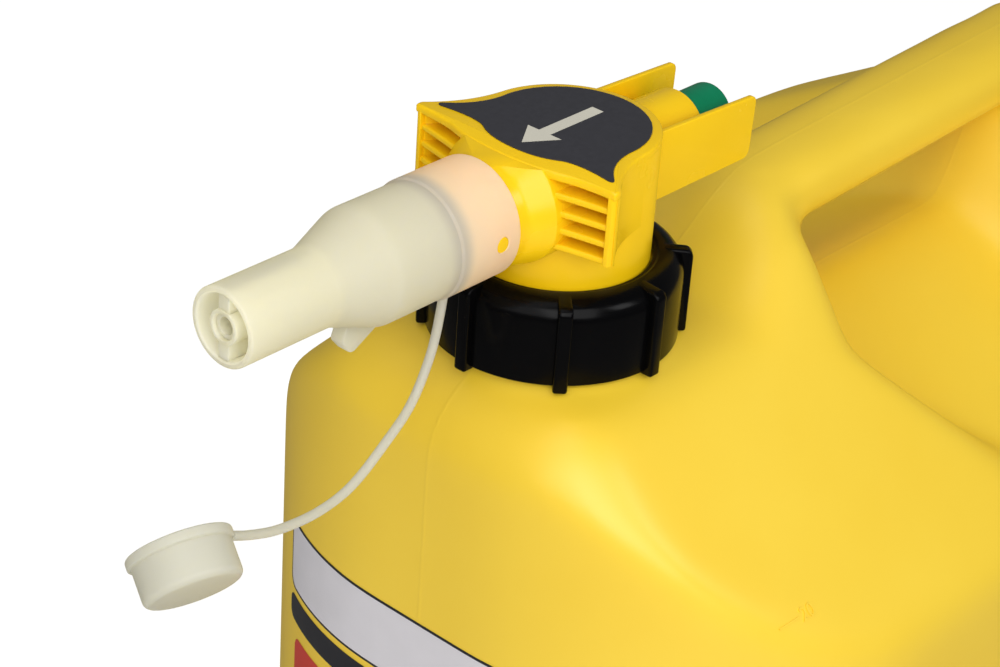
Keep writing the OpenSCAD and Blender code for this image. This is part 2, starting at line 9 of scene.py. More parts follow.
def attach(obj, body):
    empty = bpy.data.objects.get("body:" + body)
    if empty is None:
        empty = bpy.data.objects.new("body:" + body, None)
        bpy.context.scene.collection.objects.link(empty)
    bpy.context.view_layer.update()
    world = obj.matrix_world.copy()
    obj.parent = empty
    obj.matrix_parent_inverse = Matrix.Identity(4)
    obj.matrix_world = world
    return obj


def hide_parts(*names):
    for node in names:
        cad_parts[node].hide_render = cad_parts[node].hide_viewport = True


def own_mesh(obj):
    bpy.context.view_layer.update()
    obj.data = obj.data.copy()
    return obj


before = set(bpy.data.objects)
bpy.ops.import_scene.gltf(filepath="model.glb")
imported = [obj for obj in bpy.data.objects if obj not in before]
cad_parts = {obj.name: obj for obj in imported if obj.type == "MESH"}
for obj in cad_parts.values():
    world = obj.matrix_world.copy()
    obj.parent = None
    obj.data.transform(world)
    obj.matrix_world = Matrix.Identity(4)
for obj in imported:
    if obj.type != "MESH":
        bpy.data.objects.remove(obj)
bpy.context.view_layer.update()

# Studio: a pale floor that stays white behind the can, soft lamps and the camera of the photograph.
# The camera stands to the right of the spout and looks down on it at thirty degrees.
scene = bpy.context.scene
scene.view_settings.view_transform = "Standard"


def spot(x, y, z):
    """Place in the frame of a point given in millimetres from the neck axis at the collar's lower edge."""
    return Vector((x, y - 119.5, z + 345.0)) / 1000


def tone(hex_value):
    """Linear colour of an sRGB hex value."""
    parts = [int(hex_value[i:i + 2], 16) / 255 for i in (0, 2, 4)]
    return [c / 12.92 if c <= 0.04045 else ((c + 0.055) / 1.055) ** 2.4 for c in parts] + [1.0]


def add(tree, kind, inputs=None, **settings):
    """Adds a node: settings are its own, inputs are values or the sockets that feed them."""
    node = tree.nodes.new(kind)
    for name, value in settings.items():
        setattr(node, name, value)
    for name, value in (inputs or {}).items():
        if isinstance(value, bpy.types.NodeSocket):
            tree.links.new(value, node.inputs[name])
        else:
            node.inputs[name].default_value = value
    return node


def new_material(name):
    """Empty material and its tree."""
    material = bpy.data.materials.new(name)
    material.use_nodes = True
    material.node_tree.nodes.clear()
    return material, material.node_tree


camera_data = bpy.data.cameras.new("camera")
camera_data.lens = 93.6
camera_data.sensor_width = 36.0
camera = bpy.data.objects.new("camera", camera_data)
scene.collection.objects.link(camera)
scene.camera = camera
camera.matrix_world = (
    Matrix.Translation(spot(436.1, -538.6, 394.9))
    @ Matrix.Rotation(math.radians(40.26), 4, "Z")
    @ Matrix.Rotation(math.radians(90.0 - 30.05), 4, "X")
    @ Matrix.Rotation(math.radians(4.06), 4, "Z")
)

world = bpy.data.worlds.new("studio")
scene.world = world
world.use_nodes = True
world.node_tree.nodes.clear()
sky_paths = add(world.node_tree, "ShaderNodeLightPath")
sky_seen = add(world.node_tree, "ShaderNodeMath", {
    0: sky_paths.outputs["Is Camera Ray"], 1: sky_paths.outputs["Is Transmission Ray"]}, operation="MAXIMUM")
# Polished faces see a dimmer room than dull ones, as with black boards round a product table.
sky_level = add(world.node_tree, "ShaderNodeMath", {
    0: sky_paths.outputs["Is Glossy Ray"], 1: -0.16, 2: 0.3}, operation="MULTIPLY_ADD")
sky_soft = add(world.node_tree, "ShaderNodeBackground", {
    "Color": tone("FFFFFF"), "Strength": sky_level.outputs[0]})
sky_white = add(world.node_tree, "ShaderNodeBackground", {"Color": tone("FFFFFF"), "Strength": 1.0})
sky_mix = add(world.node_tree, "ShaderNodeMixShader", {
    0: sky_seen.outputs[0], 1: sky_soft.outputs[0], 2: sky_white.outputs[0]})
add(world.node_tree, "ShaderNodeOutputWorld", {"Surface": sky_mix.outputs[0]})

floor_mesh = bpy.data.meshes.new("floor")
bm = bmesh.new()
bmesh.ops.create_grid(bm, x_segments=4, y_segments=4, size=6.0)
bm.to_mesh(floor_mesh)
bm.free()
floor = bpy.data.objects.new("floor", floor_mesh)
scene.collection.objects.link(floor)
paper, tree = new_material("matt_white_paper")
paths = add(tree, "ShaderNodeLightPath")
glow = add(tree, "ShaderNodeMath", {0: paths.outputs["Is Camera Ray"], 1: 0.62}, operation="MULTIPLY")
lit = add(tree, "ShaderNodeBsdfDiffuse", {"Color": tone("F4F3F0")})
# The floor is dimmer in polished faces too.
mirrored = add(tree, "ShaderNodeMath", {0: paths.outputs["Is Glossy Ray"], 1: 0.7}, operation="MULTIPLY")
shaded = add(tree, "ShaderNodeBsdfDiffuse", {"Color": tone("000000")})
seen_floor = add(tree, "ShaderNodeMixShader", {
    0: mirrored.outputs[0], 1: lit.outputs[0], 2: shaded.outputs[0]})
bright = add(tree, "ShaderNodeEmission", {"Color": tone("FFFFFF"), "Strength": glow.outputs[0]})
both = add(tree, "ShaderNodeAddShader", {0: seen_floor.outputs[0], 1: bright.outputs[0]})
add(tree, "ShaderNodeOutputMaterial", {"Surface": both.outputs[0]})
floor_mesh.materials.append(paper)

for name, place, wide, tall, power in (
    ("key_lamp", spot(760, -500, 520), 0.8, 0.9, 6.1),
    ("side_lamp", spot(830, 250, 600), 0.3, 0.36, 1.6),
    ("top_lamp", spot(-60, -380, 1250), 1.0, 1.0, 3.4),
    ("front_lamp", spot(440, -1160, 700), 1.2, 1.0, 5.4),
):
    lamp_data = bpy.data.lights.new(name, "AREA")
    lamp_data.shape = "RECTANGLE"
    lamp_data.size = wide
    lamp_data.size_y = tall
    lamp_data.energy = power
    lamp = bpy.data.objects.new(name, lamp_data)
    scene.collection.objects.link(lamp)
    aim = (spot(0, 20, -40) - place).to_track_quat("-Z", "Y")
    lamp.matrix_world = Matrix.Translation(place) @ aim.to_matrix().to_4x4()

# Can: one blow-moulded shell of yellow polyethylene, with its handle and threaded neck in the same wall.
# Rounded shoulders fall from the neck to both sides, and a scoop on each side leaves room for the hand.
CAN_L, CAN_W, NECK_FRONT, BASE_Z = 345.0, 240.0, 53.0, -345.0
FRONT_R, REAR_R, EDGE_R, FOOT_R = 100.0, 60.0, 26.0, 14.0
FRONT_Y, BACK_Y, MID_Z = -NECK_FRONT, CAN_L - NECK_FRONT, BASE_Z * 0.55
# Top: the flat round the neck, the rise behind it, and the heights at which the shoulders' planes would meet.
CREST_Z, CREST_RISE, RISE_Y, RISE_L = -2.8, 27.8, 42.0, 54.0
APEX_Z, SADDLE_Z, ROOF_Z = 43.0, -29.0, 22.0
# Scoop: where it starts and how far out, the length over which it deepens, and the post at its rear.
SCOOP_Y, SCOOP_X, SCOOP_RUN, POST_Y, POST_RUN = 76.0, 57.0, 34.0, 214.0, 32.0
# Handle: its two ends, half width, half height, middle, the length and dip of its roots, and its slope.
GRIP_FROM, GRIP_TO, GRIP_W, GRIP_H, GRIP_Z = 74.0, 282.0, 19.5, 12.5, 12.5
ROOT_FRONT, ROOT_REAR, ROOT_DIP = 20.0, 14.0, 12.0
TILT = math.tan(math.radians(2.35))
# How tightly the wall turns where two of its planes meet.
TIGHT = 48


def ease(u):
    """Soft step from 0 to 1."""
    u = min(1.0, max(0.0, u))
    return u * u * (3 - 2 * u)


def half_width(y, t):
    """Half the can's width at y, inside a wall of t."""
    for r, into in ((FRONT_R, FRONT_Y + FRONT_R - y), (REAR_R, y - BACK_Y + REAR_R)):
        if into > 0:
            return CAN_W / 2 - r + math.sqrt(max(0.0, (r - t) ** 2 - into * into))
    return CAN_W / 2 - t


def end_draw(y, r, t):
    """How far an edge of radius r draws in at the can's ends."""
    into = max(0.0, FRONT_Y + r - y, y - BACK_Y + r)
    return r - math.sqrt(max(0.0, (r - t) ** 2 - into * into))


def crest(y):
    """Height of the top's middle line."""
    return CREST_Z + CREST_RISE * ease((y - RISE_Y) / RISE_L) + TILT * max(0.0, y - RISE_Y - RISE_L)


def scoop(x, y, t):
    """Depth of the hand's scoop, from none to all of it."""
    x = abs(x)
    rim = SCOOP_Y + (0.3 * (SCOOP_X - x) if x < SCOOP_X else 0.9 * (x - SCOOP_X))
    return ease((y + 2 * t - rim) / SCOOP_RUN)


def can_point(around, y, t):
    """Point of the can's skin, moved inward by t, at y and at a share of the way round from the top."""
    edge, foot, wide = end_draw(y, EDGE_R, t), end_draw(y, FOOT_R, t), half_width(y, t)
    half = 1 - abs(1 - 2 * around)
    corner = math.atan2(min(crest(y), APEX_Z - wide) - edge - MID_Z, wide) - math.radians(4)
    heel = math.atan2(BASE_Z + foot - MID_Z, wide) + math.radians(3)
    if half <= 0.5:
        phi = math.pi / 2 + (corner - math.pi / 2) * half / 0.5
    elif half <= 0.8:
        phi = corner + (heel - corner) * (1 - math.cos(math.pi * (half - 0.5) / 0.3)) / 2
    else:
        phi = heel + (-math.pi / 2 - heel) * ((half - 0.8) / 0.2) ** 1.6

    def pull(distance, degrees):
        return (max(0.0, math.cos(phi - math.radians(degrees))) / distance) ** TIGHT

    sides = pull(wide, 0) + pull(wide, 180) + pull(MID_Z - BASE_Z - foot + 0.6, -90)
    apex = (APEX_Z - MID_Z) * math.cos(math.radians(45)) - edge
    closed = (sides + pull(apex, 45) + pull(apex, 135) + pull(crest(y) - MID_Z - edge, 90)) ** (-1 / TIGHT)
    saddle = (SADDLE_Z - MID_Z) * math.cos(math.radians(23)) - edge
    opened = (sides + pull(saddle, 67) + pull(saddle, 113)) ** (-1 / TIGHT)
    roof = (ROOF_Z - MID_Z) * math.cos(math.radians(30)) - edge
    rear = (sides + pull(roof, 60) + pull(roof, 120)) ** (-1 / TIGHT)
    opened += (rear - opened) * ease((y - 2 * t - POST_Y) / POST_RUN)
    reach = closed + (opened - closed) * scoop(closed * math.cos(phi), y, t)
    x = reach * math.cos(phi) * (1 if around > 0.5 else -1)
    return spot(x, y, max(BASE_Z + t, MID_Z + reach * math.sin(phi)))


def can_station(along, t):
    """Length along the can at a share of its loft, closer together in the rounded ends."""
    if along < 0.2:
        return FRONT_Y + FRONT_R - (FRONT_R - t) * math.cos(math.pi / 2 * along / 0.2)
    if along > 0.8:
        return BACK_Y - REAR_R + (REAR_R - t) * math.sin(math.pi / 2 * (along - 0.8) / 0.2)
    return FRONT_Y + FRONT_R + (CAN_L - FRONT_R - REAR_R) * (along - 0.2) / 0.6


def handle_point(around, along):
    """Point of the handle's skin. Both ends taper and dip into the can."""
    y = GRIP_FROM + (GRIP_TO - GRIP_FROM) * (1 - math.cos(math.pi * along)) / 2
    near = max(0.0, 1 - min((y - GRIP_FROM) / ROOT_FRONT, (GRIP_TO - y) / ROOT_REAR))
    size, dip = 1 - 0.4 * near * near, ROOT_DIP * near * near
    across, up = (math.copysign(abs(part) ** 0.8, part)
                  for part in (math.cos(2 * math.pi * around), math.sin(2 * math.pi * around)))
    return spot(across * GRIP_W * size, y,
                GRIP_Z + TILT * (y - RISE_Y - RISE_L) - dip + up * GRIP_H * size)


def loft(point, around, along):
    """Closed skin from a grid that is wrapped round, with its seam merged and its two ends filled."""
    bm = bmesh.new()
    bmesh.ops.create_grid(bm, x_segments=around, y_segments=along, size=1.0)
    for v in bm.verts:
        v.co = point((v.co.x + 1) / 2, (v.co.y + 1) / 2)
    bmesh.ops.remove_doubles(bm, verts=bm.verts, dist=1e-6)
    bmesh.ops.holes_fill(bm, edges=[e for e in bm.edges if e.is_boundary], sides=0)
    bmesh.ops.recalc_face_normals(bm, faces=bm.faces)
    return bm


def make_piece(name, bm, material, smooth_under=35):
    """Piece at the origin from a bmesh, smooth where its faces meet at less than an angle."""
    mesh = bpy.data.meshes.new(name)
    bm.to_mesh(mesh)
    bm.free()
    for polygon in mesh.polygons:
        polygon.use_smooth = True
    mesh.set_sharp_from_angle(angle=math.radians(smooth_under))
    if material:
        mesh.materials.append(material)
    piece = bpy.data.objects.new(name, mesh)
    scene.collection.objects.link(piece)
    return piece


def with_modifier(piece, kind, **settings):
    """Mesh of a piece as a modifier leaves it."""
    modifier = piece.modifiers.new(kind.lower(), kind)
    for name, value in settings.items():
        setattr(modifier, name, value)
    bpy.context.view_layer.update()
    evaluated = piece.evaluated_get(bpy.context.evaluated_depsgraph_get())
    return bpy.data.meshes.new_from_object(evaluated)


def rod(radius, length, place, segments):
    """Round bar in millimetres about the middle of its place."""
    bm = bmesh.new()
    bmesh.ops.create_cone(bm, cap_ends=True, segments=segments, radius1=radius / 1000, radius2=radius / 1000,
                          depth=length / 1000, matrix=place)
    return bm


WALL, NECK_R, NECK_BORE, NECK_TOP, NECK_L = 3.0, 33.5, 30.0, 17.1, 23.7
shell = loft(lambda u, v: can_point(u, can_station(v, 0.0), 0.0), 360, 240)
bar = loft(handle_point, 72, 90)
neck = rod(NECK_R, NECK_L, Matrix.Translation(spot(0, 0, NECK_TOP - NECK_L / 2)), 160)
walls = [BVHTree.FromBMesh(part) for part in (shell, bar, neck)]
joined = bmesh.new()
for part in (shell, bar, neck):
    part_mesh = bpy.data.meshes.new("part")
    part.to_mesh(part_mesh)
    part.free()
    joined.from_mesh(part_mesh)
rough_can = make_piece("rough_can", joined, None)
skin = bmesh.new()
skin.from_mesh(with_modifier(rough_can, "REMESH", mode="VOXEL", voxel_size=0.0026))
bpy.data.objects.remove(rough_can)


def smooth(verts, factor, times):
    """Evens out part of the skin."""
    for _ in range(times):
        bmesh.ops.smooth_vert(skin, verts=verts, factor=factor, use_axis_x=True, use_axis_y=True, use_axis_z=True)


# Away from the joints each point lies on its own wall. Round the handle's roots and the neck the wall is faired.
fair = []
for v in skin.verts:
    near = sorted(((wall.find_nearest(v.co)[3], i) for i, wall in enumerate(walls)))
    free = ease((near[1][0] - 0.004) / 0.010)
    target = walls[near[0][1]].find_nearest(v.co)[0]
    v.co = v.co.lerp(target, free)
    if free < 0.98:
        fair.append(v)
smooth(fair, 0.5, 18)
smooth(skin.verts, 0.4, 2)
upper = [v for v in skin.verts if v.co.z > spot(0, 0, -190).z and (v.co - spot(0, 0, 0)).xy.length > 0.044]
smooth(upper, 0.5, 10)
skin_wall = BVHTree.FromBMesh(skin)


def noise(tree, coords, scale, detail):
    """Noise on the piece's own coordinates, which are in metres."""
    found = add(tree, "ShaderNodeTexNoise", {
        "Vector": coords.outputs["Object"], "Scale": scale, "Detail": detail})
    return found.outputs["Fac"]


def shades(tree, share, low, high):
    """Colour between two sRGB hex values."""
    ramp = add(tree, "ShaderNodeValToRGB", {"Fac": share})
    ramp.color_ramp.elements[0].color = tone(low)
    ramp.color_ramp.elements[1].color = tone(high)
    return ramp.outputs["Color"]


def between(tree, share, low, high):
    """Value between two limits."""
    return add(tree, "ShaderNodeMapRange", {"Value": share, "To Min": low, "To Max": high}).outputs[0]


def bump(tree, height, strength, distance):
    """Normal over a relief whose depth is in metres."""
    return add(tree, "ShaderNodeBump", {"Height": height, "Strength": strength, "Distance": distance}).outputs[0]


def cover(tree, inputs):
    """Gives a material one surface."""
    face = add(tree, "ShaderNodeBsdfPrincipled", inputs)
    add(tree, "ShaderNodeOutputMaterial", {"Surface": face.outputs[0]})


# Blow-moulded polyethylene, dyed through: a waxy satin skin with a faint peel and a fine seam from the mould.
hdpe, tree = new_material("blow_moulded_polyethylene")
coords = add(tree, "ShaderNodeTexCoord")
# Cloudy density changes about 60 mm wide.
cloud = noise(tree, coords, 16.0, 3.0)
# Orange peel of about 2 mm, drawn coarser than the real 0.5 mm so that it shows.
peel = bump(tree, noise(tree, coords, 480.0, 2.0), 0.05, 0.0004)
apart = add(tree, "ShaderNodeSeparateXYZ", {"Vector": coords.outputs["Object"]})
off_seam = add(tree, "ShaderNodeMath", {0: apart.outputs["X"]}, operation="ABSOLUTE")
# The seam is 0.4 mm wide and fades out over 0.7 mm on each side.
seam = add(tree, "ShaderNodeMapRange", {
    "Value": off_seam.outputs[0], "From Min": 0.0002, "From Max": 0.0009, "To Min": 1.0, "To Max": 0.0},
    interpolation_type="SMOOTHSTEP")
seam_bump = add(tree, "ShaderNodeBump", {
    "Height": seam.outputs[0], "Strength": 0.2, "Distance": 0.0003, "Normal": peel})
cover(tree, {
    "Base Color": shades(tree, cloud, "F3CA2C", "F9D53C"), "Roughness": between(tree, cloud, 0.36, 0.46),
    "Normal": seam_bump.outputs[0], "IOR": 1.54, "Specular IOR Level": 0.62})

solid_can = make_piece("solid_can", skin, None)
hollow = make_piece("hollow", loft(lambda u, v: can_point(u, can_station(v, WALL), WALL), 120, 80), None)
bore = make_piece("bore", rod(NECK_BORE, 50.0, Matrix.Translation(spot(0, 0, 5)), 128), None)
can_mesh = with_modifier(solid_can, "BOOLEAN", operation="DIFFERENCE", solver="EXACT", object=hollow)
solid_can.modifiers.clear()
solid_can.data = can_mesh
can_mesh = with_modifier(solid_can, "BOOLEAN", operation="DIFFERENCE", solver="EXACT", object=bore)
for scrap in (solid_can, hollow, bore):
    bpy.data.objects.remove(scrap)
body = bmesh.new()
body.from_mesh(can_mesh)
can = make_piece("can", body, hdpe, 50)
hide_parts("tank", "neck")
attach(can, "can")

# Level mark: a short line and its number, cut in the mould, so that they stand proud of the right shoulder.
# The glyphs are laid on a plane that leans with the shoulder and are then pressed on to the wall.
MARK_RISE = 0.00035
text = bpy.data.curves.new("level_number", "FONT")
text.body = "20"
text.size = 0.0062
text.extrude = MARK_RISE
text.resolution_u = 3
writing = bpy.data.objects.new("level_number", text)
scene.collection.objects.link(writing)
bpy.context.view_layer.update()
mark_mesh = bpy.data.meshes.new_from_object(writing.evaluated_get(bpy.context.evaluated_depsgraph_get()))
bpy.data.objects.remove(writing)
bm = bmesh.new()
bm.from_mesh(mark_mesh)
bmesh.ops.remove_doubles(bm, verts=bm.verts, dist=1e-6)
bmesh.ops.translate(bm, verts=bm.verts, vec=(0.0095, -0.0002, 0))
line = bmesh.ops.create_cube(bm, size=1.0)["verts"]
bmesh.ops.transform(bm, verts=line, matrix=Matrix.Translation((0.0044, 0.0018, 0))
                    @ Matrix.Diagonal((0.0086, 0.0005, 2 * MARK_RISE, 1)))
long_edges = {e for v in line for e in v.link_edges if abs(e.verts[0].co.x - e.verts[1].co.x) > 0.004}
bmesh.ops.subdivide_edges(bm, edges=list(long_edges), cuts=6)
lean = Matrix.Translation(spot(103.0, -6.2, -60.0)) @ Matrix((
    (0, -0.66, 0.75, 0), (1, 0, 0, 0), (0, 0.75, 0.66, 0), (0, 0, 0, 1)))
out = lean.to_3x3() @ Vector((0, 0, 1))
for v in bm.verts:
    above = v.co.z
    flat = lean @ Vector((v.co.x, v.co.y, 0))
    met = skin_wall.ray_cast(flat + out * 0.02, -out)[0]
    v.co = met + out * (above + 0.0001)
bmesh.ops.recalc_face_normals(bm, faces=bm.faces)
mark = make_piece("level_mark", bm, hdpe, 30)
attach(mark, "can")

# Front print: bands of screen ink on the can's front, white with a black edge, then black, then red.
# The ink is a tenth of a millimetre thick and follows the rounded front wall.
def ink(name, colour):
    """Screen ink: flat, slightly dull and a little uneven where the mesh left more of it."""
    material, tree = new_material(name)
    coords = add(tree, "ShaderNodeTexCoord")
    # Ink density varies over about 8 mm.
    uneven = noise(tree, coords, 120.0, 4.0)
    tint = add(tree, "ShaderNodeValToRGB", {"Fac": uneven})
    tint.color_ramp.elements[0].color = [c * 0.92 for c in tone(colour)[:3]] + [1.0]
    tint.color_ramp.elements[1].color = tone(colour)
    cover(tree, {
        "Base Color": tint.outputs["Color"], "Roughness": between(tree, uneven, 0.35, 0.5), "IOR": 1.5})
    return material


FRONT_FLAT = CAN_W / 2 - FRONT_R


def band(bm, left, right, low, high, lift, slot):
    """Band of ink between two lengths round the front wall and two heights, with round corners."""
    before = set(bm.faces)
    verts = bmesh.ops.create_grid(bm, x_segments=90, y_segments=12, size=1.0)["verts"]
    half_x, half_y = (right - left) / 2, (high - low) / 2
    corner = min(4.0, 2 * half_y / 3)
    for v in verts:
        side, up = v.co.x * half_x, v.co.y * half_y
        near_x, near_y = corner - half_x + abs(side), corner - half_y + abs(up)
        if near_x > 0 and near_y > 0:
            p, q = near_x / corner, near_y / corner
            side -= math.copysign((p - p * math.sqrt(1 - q * q / 2)) * corner, side)
            up -= math.copysign((q - q * math.sqrt(1 - p * p / 2)) * corner, up)
        along, height = (left + right) / 2 + side, (low + high) / 2 + up
        turn = math.copysign(max(0.0, abs(along) - FRONT_FLAT) / FRONT_R, along)
        normal = Vector((math.sin(turn), -math.cos(turn), 0))
        foot = spot(max(-FRONT_FLAT, min(FRONT_FLAT, along)), FRONT_Y + FRONT_R, height)
        met = skin_wall.ray_cast(foot + normal * 0.2, -normal)[0]
        v.co = met + normal * lift / 1000
    faces = [f for f in bm.faces if f not in before]
    for f in faces:
        f.material_index = slot
    bmesh.ops.recalc_face_normals(bm, faces=faces)
    if sum((f.normal.y for f in faces)) > 0:
        bmesh.ops.reverse_faces(bm, faces=faces)


bm = bmesh.new()
band(bm, -71, 71, -115.0, -88.0, 0.12, 0)
band(bm, -70, 70, -114.0, -89.0, 0.18, 1)
band(bm, -71, 71, -127.5, -117.5, 0.12, 0)
band(bm, -66, 66, -172.0, -133.0, 0.12, 2)
bands = make_piece("front_print", bm, ink("black_screen_ink", "25252B"))
bands.data.materials.append(ink("white_screen_ink", "DCD9DE"))
bands.data.materials.append(ink("red_screen_ink", "D23A28"))
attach(bands, "can")

# Neck gasket: a flat ring of black nitrile rubber, stamped from sheet and pinched between neck and spout.
# The rings that seal the stem, the valve and the nozzle are of the same rubber.
rubber, tree = new_material("black_nitrile_rubber")
coords = add(tree, "ShaderNodeTexCoord")
# Grit of about 0.7 mm.
grit = noise(tree, coords, 1400.0, 3.0)
cover(tree, {
    "Base Color": shades(tree, grit, "161616", "242424"), "Roughness": between(tree, grit, 0.55, 0.75),
    "IOR": 1.52})


def dress(name, material):
    """Gives a CAD node its finish."""
    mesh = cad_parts[name].data
    mesh.materials.clear()
    mesh.materials.append(material)


for name in ("neck_gasket", "stem_seal", "poppet_seal", "nozzle_seal"):
    dress(name, rubber)

# Screw collar: injection-moulded black polypropylene with a rounded shoulder and eight grip ribs.
# It turns round the spout's drum and pulls the flange down on the neck.
COLLAR_R, COLLAR_H, COLLAR_BORE, COLLAR_HOLE = 39.0, 27.2, 36.0, 29.0
RIBS, RIB_R, RIB_LOW, RIB_W = 8, 41.5, -1.4, 4.4


def rounded(corners, steps=6):
    """Outline through corners given as (a, b, radius), with each corner turned by an arc."""
    outline = []
    for i, (a, b, radius) in enumerate(corners):
        here = Vector((a, b))
        if not radius:
            outline.append(here)
            continue
        back = (Vector(corners[i - 1][:2]) - here).normalized()
        ahead = (Vector(corners[(i + 1) % len(corners)][:2]) - here).normalized()
        half = back.angle(ahead) / 2
        middle = here + (back + ahead).normalized() * (radius / math.sin(half))
        first = here + back * (radius / math.tan(half)) - middle
        last = here + ahead * (radius / math.tan(half)) - middle
        turn = math.atan2(first.cross(last), first.dot(last))
        for k in range(steps + 1):
            outline.append(middle + Matrix.Rotation(turn * k / steps, 2) @ first)
    return outline


def faces_of(verts):
    """Faces that meet in these points."""
    return list({f for v in verts for f in v.link_faces})


def pull_out(bm, faces, way):
    """Extrudes faces by a vector in metres."""
    lifted = bmesh.ops.extrude_face_region(bm, geom=faces)["geom"]
    bmesh.ops.translate(bm, vec=way, verts=[g for g in lifted if isinstance(g, bmesh.types.BMVert)])


def round_off(bm, edges, radius, segments, clamp=False):
    """Rounds edges by a radius in millimetres."""
    bmesh.ops.bevel(bm, geom=edges, offset=radius / 1000, segments=segments, profile=0.5, affect="EDGES",
                    material=-1, clamp_overlap=clamp)


def lathe(bm, outline, place, steps=128):
    """Turns a closed outline of (radius, height) in millimetres once round, then puts it in place."""
    verts = [bm.verts.new((p[0] / 1000, 0.0, p[1] / 1000)) for p in outline]
    edges = [bm.edges.new(pair) for pair in zip(verts, verts[1:] + verts[:1])]
    before = set(bm.verts) - set(verts)
    bmesh.ops.spin(bm, geom=verts + edges, cent=(0, 0, 0), axis=(0, 0, 1), dvec=(0, 0, 0),
                   angle=2 * math.pi, steps=steps, use_merge=True)
    made = [v for v in bm.verts if v not in before]
    bmesh.ops.remove_doubles(bm, verts=made, dist=1e-6)
    made = [v for v in bm.verts if v not in before]
    bmesh.ops.transform(bm, matrix=place, verts=made)
    bmesh.ops.recalc_face_normals(bm, faces=faces_of(made))


upright = Matrix.Translation(spot(0, 0, 0))
bm = bmesh.new()
lathe(bm, rounded([
    (COLLAR_BORE, 0, 0.4), (COLLAR_R, 0, 0.5), (COLLAR_R, COLLAR_H, 6.4), (31.0, COLLAR_H, 0.5),
    (30.2, COLLAR_H - 0.5, 0.3), (COLLAR_HOLE, COLLAR_H - 0.5, 0.4), (COLLAR_HOLE, COLLAR_H - 3, 0.3),
    (COLLAR_BORE, COLLAR_H - 3, 0.4)]), upright, 160)
rib = rounded([
    (37.0, RIB_LOW, 0), (RIB_R, RIB_LOW, 0.9), (RIB_R, COLLAR_H - 0.5, 2.6), (32.6, COLLAR_H + 0.1, 0),
    (32.6, COLLAR_H - 2.3, 0), (37.0, COLLAR_H - 2.3, 0)])
for i in range(RIBS):
    before = set(bm.verts)
    flank = bm.faces.new([bm.verts.new((p[0] / 1000, -RIB_W / 2000, p[1] / 1000)) for p in rib])
    pull_out(bm, [flank], (0, RIB_W / 1000, 0))
    made = [v for v in bm.verts if v not in before]
    bmesh.ops.recalc_face_normals(bm, faces=faces_of(made))
    rims = list({e for v in made for e in v.link_edges if abs(e.verts[0].co.y - e.verts[1].co.y) < 1e-6})
    round_off(bm, rims, 1.5, 4, clamp=True)
    made = [v for v in bm.verts if v not in before]
    bmesh.ops.transform(bm, verts=made, matrix=upright @ Matrix.Rotation(2 * math.pi * i / RIBS, 4, "Z"))

# Black polypropylene, moulded in a polished tool: deep black, fairly glossy, with fine handling marks.
black_pp, tree = new_material("black_polypropylene")
coords = add(tree, "ShaderNodeTexCoord")
# Smears about 11 mm wide, and specks of about 0.7 mm.
smear = noise(tree, coords, 90.0, 5.0)
specks = bump(tree, noise(tree, coords, 1500.0, 1.0), 0.06, 0.0002)
cover(tree, {
    "Base Color": shades(tree, smear, "030304", "070708"), "Roughness": between(tree, smear, 0.14, 0.28),
    "Normal": specks, "IOR": 1.49, "Specular IOR Level": 0.1})
collar = make_piece("screw_collar", bm, black_pp)
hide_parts("collar")
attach(collar, "collar")

# Spout housing: one injection moulding in yellow polypropylene. A drum carries a flat top with two louvred
# grip wings, a flared spigot for the nozzle in front, and behind it the button's guide between two guard fins.
AXIS_Z, DRUM_R, DRUM_TOP, CHAMBER_R, FLANGE_R, FLANGE_LOW = 50.0, 28.4, 66.7, 25.8, 34.5, 19.2
WING_X, WING_Y, WING_LOW, SLATS, SLAT_PITCH, SLAT_H = 39.0, 22.3, 42.6, 4, 5.35, 2.0
# Along the nozzle's axis: spigot, flare, the guide behind them, and the nubs on which the nozzle snaps.
SPIGOT_R, SPIGOT_BORE, SPIGOT_END = 16.2, 13.2, 58.0
FLARE_R, FLARE_FOOT, FLARE_END = 22.2, 16.8, 38.4
GUIDE_R, GUIDE_BORE, GUIDE_END = 12.13, 9.18, 52.5
SNAP_R, SNAP_Y = 2.4, -46.4
sideways = Matrix(((0, 0, 1, 0), (1, 0, 0, 0), (0, 1, 0, 0), (0, 0, 0, 1)))
forward = Matrix.Translation(spot(0, 0, AXIS_Z)) @ Matrix.Rotation(math.radians(90), 4, "X")


def bend(a, b, c, n):
    """Points of a curve from a to c that leans towards b."""
    return [tuple((1 - u) ** 2 * a[k] + 2 * u * (1 - u) * b[k] + u * u * c[k] for k in (0, 1))
            for u in (i / n for i in range(n + 1))]


def slab(bm, outline, low, high, place, edge, corner=0.0):
    """Plate of an outline in millimetres between two heights, with its corners and edges rounded."""
    before = set(bm.verts)
    face = bm.faces.new([bm.verts.new((p[0] / 1000, p[1] / 1000, low / 1000)) for p in outline])
    pull_out(bm, [face], (0, 0, (high - low) / 1000))
    faces = faces_of([v for v in bm.verts if v not in before])
    bmesh.ops.recalc_face_normals(bm, faces=faces)
    if corner:
        posts = [e for f in faces for e in f.edges if abs(e.verts[0].co.z - e.verts[1].co.z) > 1e-6
                 and e.calc_face_angle() > 0.6]
        round_off(bm, list(set(posts)), corner, 5)
    made = [v for v in bm.verts if v not in before]
    rims = list({e for v in made for e in v.link_edges if abs(e.verts[0].co.z - e.verts[1].co.z) < 1e-6})
    if edge:
        round_off(bm, rims, edge, 3)
    made = [v for v in bm.verts if v not in before]
    bmesh.ops.transform(bm, matrix=place, verts=made)
    bmesh.ops.recalc_face_normals(bm, faces=faces_of(made))


